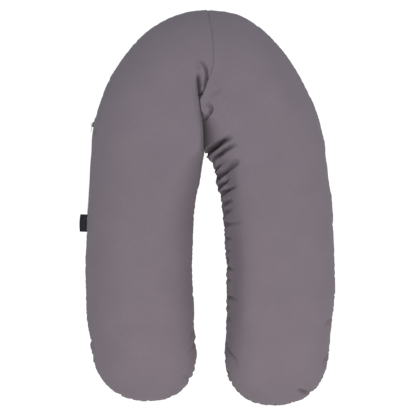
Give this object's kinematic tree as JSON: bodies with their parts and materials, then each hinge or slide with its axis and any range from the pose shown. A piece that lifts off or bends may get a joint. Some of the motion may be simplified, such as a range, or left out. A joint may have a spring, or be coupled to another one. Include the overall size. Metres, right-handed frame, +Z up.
{
  "type": "body pillow",
  "caption": "Long filled body and nursing pillow, bent into a U with its arms side by side, in a plain cotton cover with a seam label and a zip.",
  "frame": {"origin": "centre of the bounding box, on the floor the pillow lies on", "axes": "+Z up from the floor, +Y towards the bend, +X towards the right arm as seen from above"},
  "size_m": [0.4972, 0.7664, 0.168],
  "materials": {
    "cover": "plain woven cotton, matt, mauve grey",
    "label": "woven satin ribbon, near-black navy, bare",
    "zip_metal": "small grey cast slider and tab"
  },
  "bodies": {
    "root": {"pillow": "cover", "side_label": "label", "zip_slider": "zip_metal", "zip_pull": "zip_metal"}
  },
  "joints": []
}
